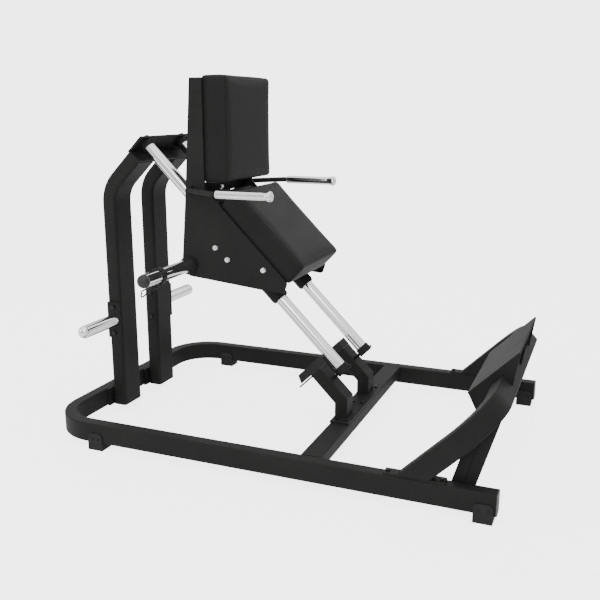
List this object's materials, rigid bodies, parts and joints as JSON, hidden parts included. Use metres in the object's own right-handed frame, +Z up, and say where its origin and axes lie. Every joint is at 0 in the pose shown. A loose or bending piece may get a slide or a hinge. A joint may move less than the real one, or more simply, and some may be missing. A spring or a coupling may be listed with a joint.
{
  "type": "leg press machine",
  "caption": "Plate-loaded leg press with a padded carriage that slides on inclined guide rods towards a raised foot plate.",
  "frame": {"origin": "on the floor under the middle of the machine's bounding box", "axes": "+Z up, +X along the base from the uprights towards the foot plate, +Y to the left of a user who faces +X"},
  "size_m": [1.714, 1.133, 1.364],
  "materials": {
    "powder_black": "satin black powder coat",
    "black_bolt": "black oxide",
    "chrome": "polished hard chrome",
    "zinc_bolt": "bright zinc",
    "rubber_black": "matt black rubber",
    "plastic_black": "moulded black",
    "plastic_grey": "moulded dark grey",
    "grip_cap_metal": "turned and polished",
    "bush_polymer": "plain bearing polymer",
    "vinyl_black": "smooth black upholstery vinyl",
    "board": "plywood with black backing",
    "spring_wire": "black spring steel"
  },
  "bodies": {
    "frame": {"base_end_hoop": "powder_black", "base_side_left": "powder_black", "base_side_right": "powder_black", "foot_hoop_arch": "powder_black", "foot_hoop_legs": "powder_black", "foot_plate": "powder_black", "foot_plate_ribs": "powder_black", "foot_screws": "black_bolt", "frame_bolts": "black_bolt", "guide_rod_left": "chrome", "guide_rod_right": "chrome", "hoop_base_plates": "powder_black", "lower_post_left": "powder_black", "lower_post_right": "powder_black", "lower_rod_collars": "powder_black", "mid_cross_member": "powder_black", "post_base_plate": "powder_black", "post_end_flanges": "powder_black", "rail_end_caps": "plastic_grey", "rear_struts": "powder_black", "rest_block_shims": "plastic_black", "rest_blocks": "rubber_black", "rod_lock_screws": "black_bolt", "rubber_stop_rings": "rubber_black", "saddle_feet": "rubber_black", "storage_horn_bolts": "black_bolt", "storage_horn_caps": "chrome", "storage_horn_plates": "powder_black", "storage_horns": "chrome", "top_cross_angle": "powder_black", "upper_rod_sockets": "powder_black", "upright_anchor_plates": "powder_black", "upright_left": "powder_black", "upright_right": "powder_black"},
    "carriage": {"handle_cross_plate": "powder_black", "side_plate_left": "powder_black", "side_plate_right": "powder_black", "pad_cross_tubes": "powder_black", "carriage_cross_tubes": "powder_black", "bearing_housing_left": "powder_black", "bearing_housing_right": "powder_black", "handle_arm_left": "powder_black", "handle_arm_right": "powder_black", "weight_horn_flanges": "powder_black", "weight_horn_left": "chrome", "weight_horn_right": "chrome", "weight_horn_caps": "plastic_black", "hand_grips": "chrome", "grip_end_caps": "grip_cap_metal", "carriage_bolts": "zinc_bolt", "rod_wipers": "rubber_black", "guide_bushes": "bush_polymer", "back_pad": "vinyl_black", "seat_pad": "vinyl_black", "back_pad_board": "board", "seat_pad_board": "board", "pad_bolts": "black_bolt"},
    "clip_left": {"spring_clip_left": "spring_wire"},
    "clip_right": {"spring_clip_right": "spring_wire"}
  },
  "joints": [
    {"name": "carriage_slide", "type": "slide", "parent": "frame", "child": "carriage", "axis": [0.7071, 0, -0.7071], "range_m": [-0.36, 0.335]},
    {"name": "clip_left_slide", "type": "slide", "parent": "carriage", "child": "clip_left", "axis": [0, 1, 0], "range_m": [-0.185, 0.135]},
    {"name": "clip_right_slide", "type": "slide", "parent": "carriage", "child": "clip_right", "axis": [0, -1, 0], "range_m": [-0.185, 0.135]}
  ]
}
